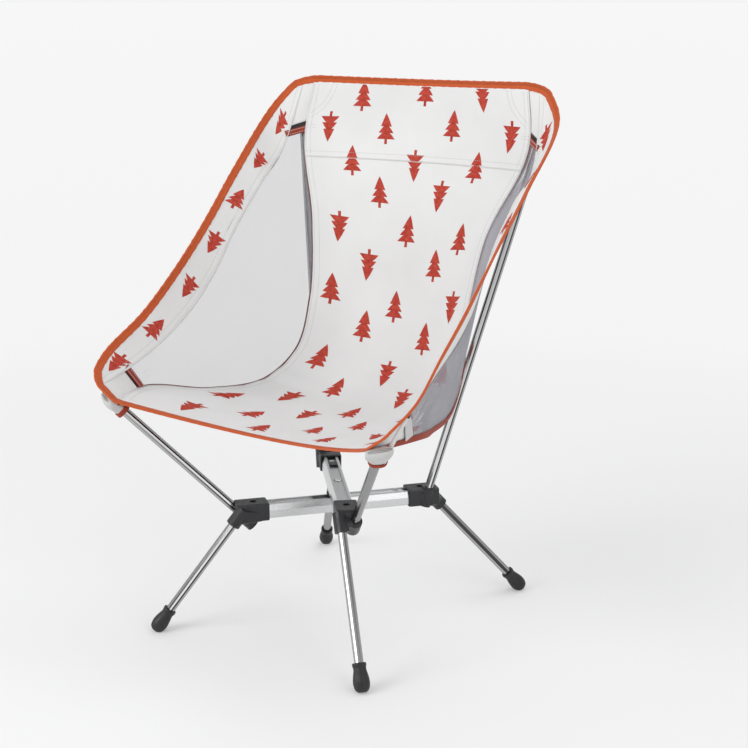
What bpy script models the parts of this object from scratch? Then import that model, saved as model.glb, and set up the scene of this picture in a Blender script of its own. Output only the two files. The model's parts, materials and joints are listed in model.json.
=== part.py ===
"""Ultralight backpacking chair: an X of two crossed aluminium bars, four moulded hubs, shock-corded legs and
poles, and a bucket sling that hangs from the four pole tips. Metres, +Z up.

The origin is on the floor, on the axis of the centre pivot. The chair faces -Y. "left" and "right" below mean
-X and +X, as someone in front of the chair sees them.
"""

import math

import bmesh
import bpy
from mathutils import Matrix, Vector

# ---------------------------------------------------------------- driving dimensions
BAR_ANGLE = math.radians(40.5)  # each bar, from the fore-and-aft axis
BAR_REACH = 0.097  # pivot axis to a bar's end
BAR_HALF_HEIGHT = 0.009
BAR_LOWER_Z = 0.149  # middle of the lower bar
BAR_UPPER_Z = 0.172  # middle of the upper bar
BAR_MEAN_Z = (BAR_LOWER_Z + BAR_UPPER_Z) / 2
PIVOT_RADIUS = 0.0029
RIVET_RADIUS = 0.0020
RIVET_REACH = 0.079  # pivot axis to the rivet that holds a hub
HUB_MOUTH = 0.090  # pivot axis to the mouth of a hub
HUB_END = 0.131
HUB_HALF_WIDTH = 0.0142
HUB_HALF_HEIGHT = 0.0113
SLEEVE_RADIUS = 0.0090
TUBE_RADIUS = 0.0055
TUBE_WALL = 0.0007
CORD_RADIUS = 0.0013
WEB_RADIUS = 0.0085  # of the webs' rounded ends, inside the sleeves
COLLAR = 0.0065  # how far a hub's sleeves stand out of its webs
GAP = 0.0003  # between pieces that touch
LEG_SEAT = 0.022  # depth of a leg's socket
POLE_SEAT = 0.022
FOOT_LENGTH = 0.033
FOOT_FLAT = 0.0012  # how much of a foot's end is moulded flat to the floor
FERRULE_LENGTH = 0.060
BACK_JOINT = 0.49  # where a back pole's two sections meet, as a share of its length
POUCH_LENGTH = 0.034
SHEET_HALF = 0.0005  # half the thickness of the sling's cloth
SEAM = 0.0012  # from a seam to the edge of each cloth
BINDING_WIDTH = 0.0095
BINDING_HALF = 0.0012
CORNER_RADIUS = 0.016  # of the sling's front corners
TOP_CLEAR = 0.006  # the cloths stop further from the top edge, where the rim turns in
ROUND = 16  # sides of a tube

# Each corner of the X: side of the chair, which bar, and in the corner's own frame (distance out along the
# bar, sideways to the outside of the chair, height from the bar's middle) where the leg and the pole leave it.
CORNERS = {
    "front_left": {"side": -1, "fore": -1, "bar": "lower"},
    "front_right": {"side": 1, "fore": -1, "bar": "upper"},
    "rear_left": {"side": -1, "fore": 1, "bar": "upper"},
    "rear_right": {"side": 1, "fore": 1, "bar": "lower"},
}
LEG_EXIT = {-1: (0.136, -0.0080, -0.014), 1: (0.140, -0.0075, -0.019)}
POLE_EXIT = {-1: (0.124, 0.0085, -0.0045), 1: (0.118, 0.0090, 0.0115)}
FOOT_AT = {-1: (0.229, 0.004), 1: (0.249, -0.007)}
POLE_TIP = {-1: (0.1955, -0.1990, 0.302), 1: (0.1865, 0.1885, 0.631)}  # on the right-hand side

# The sling's rails from the front edge to the top edge: the centre line (y, z), then the seam between the
# centre panel and the side mesh, the seam between the mesh and the rim band, and the rim (x, y, z on the right).
STATIONS = (0.0, 0.055, 0.14, 0.22, 0.28, 0.345, 0.445, 0.58, 0.65)
CENTRE_RAIL = (
    (-0.130, 0.262), (-0.078, 0.2567), (-0.005, 0.2560), (0.068, 0.2685), (0.115, 0.303),
    (0.138, 0.365), (0.160, 0.465), (0.190, 0.598), (0.202, 0.665),
)
SEAM_RAIL = (
    (0.179, -0.2080, 0.3000), (0.196, -0.139, 0.302), (0.165, -0.045, 0.284), (0.140, 0.042, 0.284),
    (0.128, 0.0895, 0.317), (0.123, 0.110, 0.378), (0.134, 0.133, 0.476), (0.172, 0.173, 0.596),
    (0.160, 0.184, 0.667),
)
BAND_RAIL = (
    (0.203, -0.2095, 0.316), (0.203, -0.157, 0.330), (0.197, -0.094, 0.358), (0.197, -0.034, 0.394),
    (0.195, 0.002, 0.428), (0.192, 0.036, 0.472), (0.191, 0.092, 0.528), (0.190, 0.155, 0.589),
    (0.178, 0.183, 0.664),
)
RIM_RAIL = (
    (0.2165, -0.206, 0.329), (0.2235, -0.174, 0.350), (0.217, -0.112, 0.388), (0.2155, -0.056, 0.430),
    (0.215, -0.022, 0.459), (0.216, 0.015, 0.492), (0.219, 0.076, 0.549), (0.215, 0.160, 0.629),
    (0.193, 0.178, 0.659),
)
MESH_FRONT = STATIONS[1]
MESH_TOP = STATIONS[7]
YOKE_AT = 0.545  # station of the seam under the yoke

# ---------------------------------------------------------------- start empty
for old in list(bpy.data.objects):
    bpy.data.objects.remove(old, do_unlink=True)


# ---------------------------------------------------------------- materials
def material(name, colour, roughness, metallic=0.0):
    made = bpy.data.materials.new(name)
    made.use_nodes = True
    shader = made.node_tree.nodes["Principled BSDF"]
    shader.inputs["Base Color"].default_value = (*colour, 1.0)
    shader.inputs["Roughness"].default_value = roughness
    shader.inputs["Metallic"].default_value = metallic
    return made


ALUMINIUM = material("aluminium", (0.62, 0.63, 0.64), 0.28, 1.0)
NYLON = material("black_nylon", (0.035, 0.036, 0.038), 0.45)
RUBBER = material("foot_rubber", (0.030, 0.031, 0.033), 0.6)
CORD = material("shock_cord", (0.05, 0.05, 0.055), 0.8)
CLOTH = material("printed_cloth", (0.72, 0.72, 0.70), 0.85)
MESH_CLOTH = material("side_mesh", (0.55, 0.55, 0.57), 0.9)
BINDING = material("orange_binding", (0.60, 0.12, 0.045), 0.8)


# ---------------------------------------------------------------- building blocks
def add(name, bm, finish, smooth=True):
    """Turns a bmesh into a named object; its faces are made to point out."""
    bmesh.ops.recalc_face_normals(bm, faces=bm.faces)
    mesh = bpy.data.meshes.new(name)
    bm.to_mesh(mesh)
    bm.free()
    mesh.materials.append(finish)
    if smooth:
        mesh.shade_smooth()
        mesh.set_sharp_from_angle(angle=math.radians(35))
    obj = bpy.data.objects.new(name, mesh)
    bpy.context.scene.collection.objects.link(obj)
    return obj


def helper(obj):
    """A cutter or a shape to be joined: it isn't a piece of the chair."""
    obj.hide_render = True
    obj.display_type = "WIRE"
    return obj


def combine(target, other, operation):
    step = target.modifiers.new(operation.lower(), "BOOLEAN")
    step.operation = operation
    step.solver = "EXACT"
    step.object = helper(other)


def aim(obj, start, end):
    """Puts an object's origin at start, with its +Z towards end."""
    obj.location = start
    obj.rotation_mode = "QUATERNION"
    obj.rotation_quaternion = (Vector(end) - Vector(start)).to_track_quat("Z", "Y")


def turned(name, profile, finish, sides=ROUND):
    """A turned solid: profile is a list of (radius, height); a radius of 0 closes it on the axis."""
    bm = bmesh.new()
    rings = []
    for radius, height in profile:
        if radius == 0:
            rings.append([bm.verts.new((0, 0, height))])
            continue
        ring = []
        for k in range(sides):
            angle = math.tau * k / sides
            ring.append(bm.verts.new((radius * math.cos(angle), radius * math.sin(angle), height)))
        rings.append(ring)
    closed = profile[0][0] > 0
    pairs = list(zip(rings, rings[1:]))
    if closed:
        pairs.append((rings[-1], rings[0]))
    for lower, upper in pairs:
        for k in range(sides):
            corners = [lower[k % len(lower)], lower[(k + 1) % len(lower)]]
            corners += [upper[(k + 1) % len(upper)], upper[k % len(upper)]]
            bm.faces.new(list(dict.fromkeys(corners)))
    return add(name, bm, finish)


def tube(name, start, end, outer, inner, finish=ALUMINIUM):
    length = (Vector(end) - Vector(start)).length
    obj = turned(name, [(inner, 0), (outer, 0), (outer, length), (inner, length)], finish)
    aim(obj, start, end)
    return obj


def rod(name, start, end, radius, finish, sides=ROUND):
    length = (Vector(end) - Vector(start)).length
    obj = turned(name, [(0, 0), (radius, 0), (radius, length), (0, length)], finish, sides)
    aim(obj, start, end)
    return obj


def prism(name, outline, low, high, finish):
    """An outline of (x, y) points, extruded along Z from low to high."""
    bm = bmesh.new()
    base = bm.faces.new([bm.verts.new((x, y, low)) for x, y in outline])
    top = bmesh.ops.extrude_face_region(bm, geom=[base])
    moved = [v for v in top["geom"] if isinstance(v, bmesh.types.BMVert)]
    bmesh.ops.translate(bm, verts=moved, vec=(0, 0, high - low))
    return add(name, bm, finish, smooth=False)


def box(name, low, high, finish, bevel=0.0):
    bm = bmesh.new()
    bmesh.ops.create_cube(bm, size=1.0)
    size = [b - a for a, b in zip(low, high)]
    bmesh.ops.scale(bm, verts=bm.verts, vec=size)
    bmesh.ops.translate(bm, verts=bm.verts, vec=[(a + b) / 2 for a, b in zip(low, high)])
    if bevel:
        bmesh.ops.bevel(bm, geom=bm.edges[:], offset=bevel, segments=2, affect="EDGES", profile=0.6)
    return add(name, bm, finish, smooth=bool(bevel))


def hull(name, parts, finish):
    """The convex hull of some parts, which it uses up."""
    bm = bmesh.new()
    for part in parts:
        for vertex in part.data.vertices:
            bm.verts.new(part.matrix_basis @ vertex.co)
        bpy.data.objects.remove(part)
    made = bmesh.ops.convex_hull(bm, input=bm.verts)
    inside = {part for part in made["geom_interior"] + made["geom_unused"] if part in bm.verts}
    bmesh.ops.delete(bm, geom=list(inside), context="VERTS")
    return add(name, bm, finish, smooth=False)


# ---------------------------------------------------------------- the X's own frames
def bar_z(bar):
    return BAR_LOWER_Z if bar == "lower" else BAR_UPPER_Z


def corner_frame(corner):
    """World matrix of a corner: X out along the bar, Y sideways to the outside, origin on the pivot axis."""
    spec = CORNERS[corner]
    out = Vector((spec["side"] * math.sin(BAR_ANGLE), spec["fore"] * math.cos(BAR_ANGLE), 0))
    sideways = Vector((spec["side"] * math.cos(BAR_ANGLE), -spec["fore"] * math.sin(BAR_ANGLE), 0))
    frame = Matrix.Identity(4)
    for row in range(3):
        frame[row][0] = out[row]
        frame[row][1] = sideways[row]
    frame.translation = (0, 0, bar_z(spec["bar"]))
    return frame


def mirrored(frame):
    """True where the corner's frame is left-handed, so a shape built in it has to be turned inside out."""
    return frame.to_3x3().determinant() < 0


def place(obj, frame):
    """Puts a shape that was built in a corner's frame into the world, keeping its faces outward."""
    obj.data.transform(frame)
    if mirrored(frame):
        obj.data.flip_normals()
    return obj


def in_corner(corner, point):
    return corner_frame(corner) @ Vector(point)


def leg_line(corner):
    """(foot's ball, socket mouth, socket end) of a leg."""
    spec = CORNERS[corner]
    mouth = in_corner(corner, LEG_EXIT[spec["fore"]])
    out, sideways = FOOT_AT[spec["fore"]]
    foot = in_corner(corner, (out, sideways, 0))
    foot.z = 0.0099
    inward = (mouth - foot).normalized()
    return foot, mouth, mouth + inward * LEG_SEAT


def pole_line(corner):
    """(socket end, socket mouth, tip) of a pole."""
    spec = CORNERS[corner]
    mouth = in_corner(corner, POLE_EXIT[spec["fore"]])
    tip = Vector(POLE_TIP[spec["fore"]])
    tip.x *= spec["side"]
    inward = (mouth - tip).normalized()
    return mouth + inward * POLE_SEAT, mouth, tip


# ---------------------------------------------------------------- crossed bars and their pivot
def cross_bar(name, bar, corner):
    """An extruded bar: wide below, with a shallow channel between two lips on top, and hollow inside."""
    half = BAR_HALF_HEIGHT
    outline = [
        (-0.0105, -half), (0.0105, -half), (0.0120, -half + 0.0020), (0.0115, 0.0010),
        (0.0092, half - 0.0008), (0.0084, half), (0.0058, half), (0.0058, half - 0.0030),
    ]
    outline += [(-y, z) for y, z in outline[:1:-1]]
    bar_body = prism(name, outline, -BAR_REACH, BAR_REACH, ALUMINIUM)
    hollow = box(name + "_hollow", (-0.0068, -0.0050, -0.12), (0.0068, 0.0030, 0.12), ALUMINIUM)
    along = corner_frame(corner)
    upright = along @ Matrix(((0, 0, 1, 0), (1, 0, 0, 0), (0, 1, 0, 0), (0, 0, 0, 1)))
    for shape in (bar_body, hollow):
        place(shape, upright)
    combine(bar_body, hollow, "DIFFERENCE")
    for reach, radius in ((0, PIVOT_RADIUS), (RIVET_REACH, RIVET_RADIUS), (-RIVET_REACH, RIVET_RADIUS)):
        centre = along @ Vector((reach, 0, 0))
        low = centre - Vector((0, 0, 0.02))
        high = centre + Vector((0, 0, 0.02))
        combine(bar_body, rod(name + "_hole", low, high, radius + GAP, ALUMINIUM), "DIFFERENCE")
    return bar_body


def pivot():
    """The rivet that both bars turn on, and the plastic saddle between them."""
    bottom = BAR_LOWER_Z - BAR_HALF_HEIGHT
    floor = BAR_UPPER_Z + BAR_HALF_HEIGHT - 0.003
    turned(
        "pivot_rivet",
        [
            (0, bottom - 0.0024), (0.0040, bottom - 0.0022), (0.0052, bottom - GAP),
            (PIVOT_RADIUS, bottom - GAP),
            (PIVOT_RADIUS, floor + GAP), (0.0050, floor + GAP), (0.0044, floor + 0.0016), (0, floor + 0.0021),
        ],
        ALUMINIUM,
    )
    low = BAR_LOWER_Z + BAR_HALF_HEIGHT + GAP
    high = BAR_UPPER_Z - BAR_HALF_HEIGHT - GAP
    hole = PIVOT_RADIUS + GAP
    saddle = turned("pivot_spacer", [(hole, low), (0.0140, low), (0.0140, high), (hole, high)], NYLON, 24)
    along = corner_frame("rear_right")
    for side in (-1, 1):
        near = side * 0.0124
        far = side * 0.0154
        drop = (-0.0075, min(near, far), -0.0050)
        top = (0.0075, max(near, far), low + 0.0022 - BAR_LOWER_Z)
        combine(saddle, place(box("pivot_spacer_lip", drop, top, NYLON), along), "UNION")


def channel_stop(name, corner, start, end):
    """A plastic plug pressed into the channel of a bar."""
    floor = BAR_HALF_HEIGHT - 0.003
    low = (start, -0.0058 + GAP, floor + GAP)
    high = (end, 0.0058 - GAP, BAR_HALF_HEIGHT - 0.0003)
    place(box(name, low, high, NYLON), corner_frame(corner))


# ---------------------------------------------------------------- hubs
def hub(corner):
    """A moulded hub: a block on the bar's end with a tongue in the bar, a leg sleeve and a pole sleeve."""
    name = "hub_" + corner
    frame = corner_frame(corner)
    width, height = HUB_HALF_WIDTH, HUB_HALF_HEIGHT
    body = place(box(name, (HUB_MOUTH, -width, -height), (HUB_END, width, height), NYLON, 0.0026), frame)

    _, leg_mouth, leg_end = leg_line(corner)
    leg_inward = (leg_end - leg_mouth).normalized()
    pole_end, pole_mouth, pole_tip = pole_line(corner)
    pole_outward = (pole_tip - pole_mouth).normalized()
    wall = 0.0022
    leg_sleeve = rod(name + "_leg", leg_mouth, leg_end + leg_inward * wall, SLEEVE_RADIUS, NYLON)
    pole_sleeve = rod(name + "_pole", pole_end - pole_outward * wall, pole_mouth, SLEEVE_RADIUS, NYLON)
    outer = HUB_END - 0.001
    low = (0.1003, -0.98 * width, -0.97 * height)
    leg_heel = place(box(name + "_leg_heel", low, (outer, 0.5 * width, 0), NYLON), frame)
    leg_root = rod(name + "_leg_root", leg_mouth + leg_inward * COLLAR, leg_end, WEB_RADIUS, NYLON)
    low = (0.103, -0.4 * width, -0.9 * height)
    pole_heel = place(box(name + "_pole_heel", low, (outer, 0.96 * width, 0.0066), NYLON), frame)
    pole_root = rod(name + "_pole_root", pole_end, pole_mouth - pole_outward * COLLAR, WEB_RADIUS, NYLON)
    combine(body, hull(name + "_leg_web", (leg_heel, leg_root), NYLON), "UNION")
    combine(body, hull(name + "_pole_web", (pole_heel, pole_root), NYLON), "UNION")
    combine(body, leg_sleeve, "UNION")
    combine(body, pole_sleeve, "UNION")

    lap = BAR_REACH + GAP
    pocket = place(box(name + "_pocket", (0.08, -0.0124, -0.0093), (lap, 0.0124, 0.0093), NYLON), frame)
    combine(body, pocket, "DIFFERENCE")
    tongue = place(box(name + "_tongue", (0.066, -0.0064, -0.0046), (0.100, 0.0064, 0.0026), NYLON), frame)
    combine(body, tongue, "UNION")
    bore = TUBE_RADIUS + GAP
    past_block = 0.030
    leg_bore = rod(name + "_leg_bore", leg_mouth - leg_inward * past_block, leg_end, bore, NYLON)
    combine(body, leg_bore, "DIFFERENCE")
    pole_bore = rod(name + "_pole_bore", pole_end, pole_mouth + pole_outward * past_block, bore, NYLON)
    combine(body, pole_bore, "DIFFERENCE")
    for reach, depth, radius in ((RIVET_REACH, -0.02, RIVET_RADIUS + GAP), (0.1085, 0.0065, 0.0042)):
        low = frame @ Vector((reach, 0, depth))
        high = frame @ Vector((reach, 0, 0.02))
        combine(body, rod(name + "_hole", low, high, radius, NYLON), "DIFFERENCE")

    weld = body.modifiers.new("weld", "WELD")
    weld.merge_threshold = 0.00003

    centre = frame @ Vector((RIVET_REACH, 0, 0))
    head = BAR_HALF_HEIGHT - 0.003
    rivet = turned(
        "rivet_" + corner,
        [
            (0, -BAR_HALF_HEIGHT - 0.0016), (0.0030, -BAR_HALF_HEIGHT - 0.0013),
            (0.0034, -BAR_HALF_HEIGHT - GAP),
            (RIVET_RADIUS, -BAR_HALF_HEIGHT - GAP), (RIVET_RADIUS, head + GAP), (0.0036, head + GAP),
            (0.0030, head + 0.0013), (0, head + 0.0016),
        ],
        ALUMINIUM,
        12,
    )
    rivet.location = centre


# ---------------------------------------------------------------- legs and feet
FOOT_PROFILE = [
    (0, 0), (0.0052, 0.0003), (0.0078, 0.0024), (0.0093, 0.0060), (0.0099, 0.0105), (0.0096, 0.0150),
    (0.0086, 0.0205), (0.0076, 0.0250), (0.0075, 0.0275), (0.0083, 0.0305), (0.0082, FOOT_LENGTH),
    (TUBE_RADIUS + GAP, FOOT_LENGTH), (TUBE_RADIUS + GAP, 0.0080), (0, 0.0080),
]


def leg(corner):
    """A single tube with a rubber foot, and the shock cord that ties it into the hub."""
    ball, _, end = leg_line(corner)
    up = (end - ball).normalized()
    tilt = math.acos(up.z)
    lowest = min(z * math.cos(tilt) - r * math.sin(tilt) for r, z in FOOT_PROFILE)
    toe = ball + up * (-ball.z - FOOT_FLAT - lowest) / up.z
    foot = turned("foot_" + corner, FOOT_PROFILE, RUBBER, 20)
    aim(foot, toe, end)
    floor = box("floor_cut", (-0.05, -0.05, -0.02), (0.05, 0.05, 0), RUBBER)
    floor.location = (toe.x, toe.y, 0)
    combine(foot, floor, "DIFFERENCE")
    seat = toe + up * (0.0080 + GAP)
    tube("leg_tube_" + corner, seat, end - up * GAP, TUBE_RADIUS, TUBE_RADIUS - TUBE_WALL)
    rod("leg_cord_" + corner, seat + up * GAP, end - up * GAP, CORD_RADIUS, CORD, 8)


# ---------------------------------------------------------------- poles
def tip_cap(name, tip, direction):
    """The rounded plug in the end of a pole; the tube stops where its shoulder starts."""
    stem = TUBE_RADIUS - TUBE_WALL - GAP
    cap = turned(
        name,
        [
            (0, -0.016), (stem, -0.016), (stem, -0.0072), (TUBE_RADIUS, -0.0072),
            (TUBE_RADIUS, -0.0035), (0.0042, -0.0010), (0.0020, 0), (0, 0),
        ],
        NYLON,
    )
    aim(cap, tip, tip + direction)


def front_pole(corner):
    start, _, tip = pole_line(corner)
    out = (tip - start).normalized()
    side = corner.split("_")[1]
    shoulder = tip - out * (0.0072 + GAP)
    tube("front_pole_" + side, start + out * GAP, shoulder, TUBE_RADIUS, TUBE_RADIUS - TUBE_WALL)
    tip_cap("front_pole_tip_" + side, tip, out)
    rod("front_pole_cord_" + side, start + out * GAP, tip - out * 0.0165, CORD_RADIUS, CORD, 8)


def back_pole(corner):
    """A two-section pole, joined by a ferrule inside both tubes."""
    start, _, tip = pole_line(corner)
    out = (tip - start).normalized()
    side = corner.split("_")[1]
    inner = TUBE_RADIUS - TUBE_WALL
    joint = start.lerp(tip, BACK_JOINT)
    tube("back_pole_lower_" + side, start + out * GAP, joint - out * GAP / 2, TUBE_RADIUS, inner)
    tube("back_pole_upper_" + side, joint + out * GAP / 2, tip - out * (0.0072 + GAP), TUBE_RADIUS, inner)
    half = out * FERRULE_LENGTH / 2
    tube("back_pole_ferrule_" + side, joint - half, joint + half, inner - GAP, inner - GAP - TUBE_WALL)
    tip_cap("back_pole_tip_" + side, tip, out)
    rod("back_pole_cord_" + side, start + out * GAP, tip - out * 0.0165, CORD_RADIUS, CORD, 8)


# ---------------------------------------------------------------- sling
def rail(points, station):
    """A smooth curve through points at STATIONS, with finite-difference tangents."""
    points = [Vector(p if len(p) == 3 else (0, *p)) for p in points]
    last = len(STATIONS) - 1
    steps = [b - a for a, b in zip(STATIONS, STATIONS[1:])]
    slopes = [(b - a) / h for a, b, h in zip(points, points[1:], steps)]
    tangents = [slopes[0]]
    for k in range(1, last):
        weight = steps[k - 1] / (steps[k - 1] + steps[k])
        tangents.append(slopes[k - 1] * (1 - weight) + slopes[k] * weight)
    tangents.append(slopes[-1])
    k = max(i for i in range(last) if STATIONS[i] <= station + 1e-9)
    h = steps[k]
    t = (station - STATIONS[k]) / h
    blend_end = t * t * (3 - 2 * t)
    bend = points[k] * (1 - blend_end) + points[k + 1] * blend_end
    return bend + tangents[k] * h * t * (1 - t) ** 2 + tangents[k + 1] * h * t * t * (t - 1)


def off_rail(points, station, target, distance):
    """A point beside a rail, square to it and on the side of target."""
    low = max(station - 0.002, STATIONS[0])
    high = min(station + 0.002, STATIONS[-1])
    along = (rail(points, high) - rail(points, low)).normalized()
    start = rail(points, station)
    way = target - start
    return start + (way - along * way.dot(along)).normalized() * distance


def centre_point(station, across):
    """A point of the centre panel and yoke: across is -1 at the left seam and 1 at the right one."""
    middle = rail(CENTRE_RAIL, station)
    edge = off_rail(SEAM_RAIL, station, middle, SEAM)
    rise = (edge - middle) * across * across
    return Vector((across * edge.x, middle.y + rise.y, middle.z + rise.z))


def strip_point(inner_rail, outer_rail, side, inner_gap, outer_gap):
    """A function of (station, share) for cloth that spans two rails, with a gap in metres at each."""

    def point(station, share):
        a = off_rail(inner_rail, station, rail(outer_rail, station), inner_gap)
        b = off_rail(outer_rail, station, rail(inner_rail, station), outer_gap)
        found = a.lerp(b, share)
        return Vector((found.x * side, found.y, found.z))

    return point


def spaced(low, high, count):
    return [low + (high - low) * k / (count - 1) for k in range(count)]


def cloth(name, point, stations, shares, finish):
    """A thin closed sheet over a grid of point(station, share)."""
    grid = [[point(s, a) for a in shares] for s in stations]
    rows, columns = len(stations), len(shares)
    bm = bmesh.new()
    sides = []
    for offset in (-SHEET_HALF, SHEET_HALF):
        face = []
        for i in range(rows):
            line = []
            for j in range(columns):
                along = grid[min(i + 1, rows - 1)][j] - grid[max(i - 1, 0)][j]
                across = grid[i][min(j + 1, columns - 1)] - grid[i][max(j - 1, 0)]
                normal = across.cross(along).normalized()
                line.append(bm.verts.new(grid[i][j] + normal * offset))
            face.append(line)
        sides.append(face)
    under, over = sides
    for i in range(rows - 1):
        for j in range(columns - 1):
            for layer in (under, over):
                bm.faces.new((layer[i][j], layer[i][j + 1], layer[i + 1][j + 1], layer[i + 1][j]))
    edge = [(0, j) for j in range(columns)] + [(i, columns - 1) for i in range(1, rows)]
    edge += [(rows - 1, j) for j in range(columns - 2, -1, -1)] + [(i, 0) for i in range(rows - 2, 0, -1)]
    for (i, j), (m, n) in zip(edge, edge[1:] + edge[:1]):
        bm.faces.new((under[i][j], under[m][n], over[m][n], over[i][j]))
    return add(name, bm, finish)


def rim_edge(station):
    """The sling's right-hand edge: the rim rail, rounded off at the front corner."""
    rim = rail(RIM_RAIL, station)
    inward = (rail(BAND_RAIL, station) - rim).normalized()
    near = max(0.0, 1 - station / CORNER_RADIUS)
    return rim + inward * CORNER_RADIUS * (1 - math.sqrt(1 - near * near))


def edge_loop():
    """The sling's edge, as (point on the edge, point further in): front, right rim, top, left rim."""
    inside = BINDING_WIDTH * 2
    first, last = STATIONS[0], STATIONS[-1]
    right = []
    for share in (0.0, 0.2, 0.4, 0.6, 0.8):
        right.append((centre_point(first, share), centre_point(first + inside, share)))
    right.append((rail(SEAM_RAIL, first), rail(SEAM_RAIL, first + inside)))
    right.append((rail(BAND_RAIL, first), rail(BAND_RAIL, first + inside)))
    for station in (0.0015, 0.0045, 0.009):
        right.append((rim_edge(station), rail(BAND_RAIL, first + inside)))
    for station in spaced(0.022, last - 0.022, 23):
        right.append((rim_edge(station), rail(BAND_RAIL, station)))
    right.append((rail(RIM_RAIL, last), rail(BAND_RAIL, last - inside)))
    right.append((rail(BAND_RAIL, last), rail(BAND_RAIL, last - inside)))
    right.append((rail(SEAM_RAIL, last), rail(SEAM_RAIL, last - inside)))
    for share in (0.8, 0.6, 0.4, 0.2, 0.0):
        right.append((centre_point(last, share), centre_point(last - inside, share)))
    mirror = Vector((-1, 1, 1))
    left = [(a * mirror, b * mirror) for a, b in right[-2:0:-1]]
    return right + left


def edge_binding():
    """The tape folded over the sling's edge, one closed ring of flat section just outside the cloth."""
    loop = edge_loop()
    count = len(loop)
    bm = bmesh.new()
    rings = []
    for k, (point, inner) in enumerate(loop):
        along = (loop[(k + 1) % count][0] - loop[k - 1][0]).normalized()
        inward = inner - point
        inward = (inward - along * inward.dot(along)).normalized()
        normal = along.cross(inward)
        ring = []
        for depth, lift in ((0, 0), (0.2, 1), (1, 1), (1, -1), (0.2, -1)):
            place_at = point + inward * depth * BINDING_WIDTH + normal * lift * BINDING_HALF
            ring.append(bm.verts.new(place_at))
        rings.append(ring)
    for k, ring in enumerate(rings):
        following = rings[(k + 1) % count]
        for m in range(len(ring)):
            n = (m + 1) % len(ring)
            bm.faces.new((ring[m], ring[n], following[n], following[m]))
    add("edge_binding", bm, BINDING)


def sling():
    """The cloths of the sling, each one sheet with its own node."""
    first = STATIONS[0] + BINDING_WIDTH + SEAM
    last = STATIONS[-1] - BINDING_WIDTH - TOP_CLEAR
    shares = spaced(-1, 1, 11)
    cloth("centre_panel", centre_point, spaced(first, YOKE_AT - SEAM, 21), shares, CLOTH)
    cloth("yoke_panel", centre_point, spaced(YOKE_AT + SEAM, last, 5), shares, CLOTH)
    for side, word in ((-1, "left"), (1, "right")):
        mesh = strip_point(SEAM_RAIL, BAND_RAIL, side, SEAM, SEAM)
        band = strip_point(BAND_RAIL, RIM_RAIL, side, SEAM, BINDING_WIDTH + SEAM)
        inside = spaced(0, 1, 5)
        cloth("side_mesh_" + word, mesh, spaced(MESH_FRONT + SEAM, MESH_TOP - SEAM, 17), inside, MESH_CLOTH)
        cloth("rim_band_" + word, band, spaced(first + 0.004, last, 21), (0, 1), CLOTH)
        cloth("corner_patch_front_" + word, mesh, spaced(first, MESH_FRONT - SEAM, 4), (0, 0.5, 1), CLOTH)
        cloth("corner_patch_rear_" + word, mesh, spaced(MESH_TOP + SEAM, last, 4), (0, 0.5, 1), CLOTH)


POUCH_SECTIONS = (  # along the pole, half width, half thickness
    (0.0, 0.0086, 0.0072), (0.009, 0.0104, 0.0074), (0.019, 0.0124, 0.0074), (0.026, 0.0128, 0.0070),
    (0.031, 0.0108, 0.0052), (POUCH_LENGTH, 0.0060, 0.0026),
)
SHEET_NORMAL = {-1: (-0.56, -0.03, 0.83), 1: (0.10, -0.97, 0.22)}  # of the sling at the right-hand corners


def corner_pocket(corner):
    """The pouch under a corner of the sling that a pole's tip sits in."""
    spec = CORNERS[corner]
    name = "corner_pocket_" + corner
    _, mouth, tip = pole_line(corner)
    out = (tip - mouth).normalized()
    start = tip - out * (POUCH_LENGTH - 0.005)
    normal = Vector(SHEET_NORMAL[spec["fore"]])
    normal.x *= spec["side"]
    normal = (normal - out * normal.dot(out)).normalized()
    across = out.cross(normal)
    bm = bmesh.new()
    rings = []
    for reach, half_width, half_thickness in POUCH_SECTIONS:
        centre = start + out * reach - normal * 0.0008
        ring = []
        for k in range(ROUND):
            angle = math.tau * k / ROUND
            c, s = math.cos(angle), math.sin(angle)
            square = 0.75
            wide = math.copysign(abs(c) ** square, c) * half_width
            thick = math.copysign(abs(s) ** square, s) * half_thickness
            ring.append(bm.verts.new(centre + across * wide + normal * thick))
        rings.append(ring)
    for lower, upper in zip(rings, rings[1:]):
        for k in range(ROUND):
            n = (k + 1) % ROUND
            bm.faces.new((lower[k], lower[n], upper[n], upper[k]))
    bm.faces.new(rings[0])
    bm.faces.new(rings[-1])
    pouch = add(name, bm, CLOTH)
    bore = rod(name + "_bore", start - out * 0.01, tip + out * 0.0006, TUBE_RADIUS + 0.0005, CLOTH)
    combine(pouch, bore, "DIFFERENCE")


# ---------------------------------------------------------------- the chair
cross_bar("cross_bar_lower", "lower", "rear_right")
cross_bar("cross_bar_upper", "upper", "front_right")
pivot()
channel_stop("channel_stop_lower", "front_left", 0.0165, 0.0300)
channel_stop("channel_stop_upper", "rear_left", 0.056, 0.070)
for corner_name in CORNERS:
    hub(corner_name)
    leg(corner_name)
    corner_pocket(corner_name)
for corner_name in ("front_left", "front_right"):
    front_pole(corner_name)
for corner_name in ("rear_left", "rear_right"):
    back_pole(corner_name)
sling()
edge_binding()
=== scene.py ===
"""The looks of an ultralight backpacking chair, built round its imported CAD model. Metres, +Z up.

The frame's pieces are the CAD nodes with better materials. The sling is built here from the same
rails as its CAD solids: sewn cloths with their wrinkles, a tape round the edge, bound seams,
stitching and a small print.
"""

import json
import math

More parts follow.
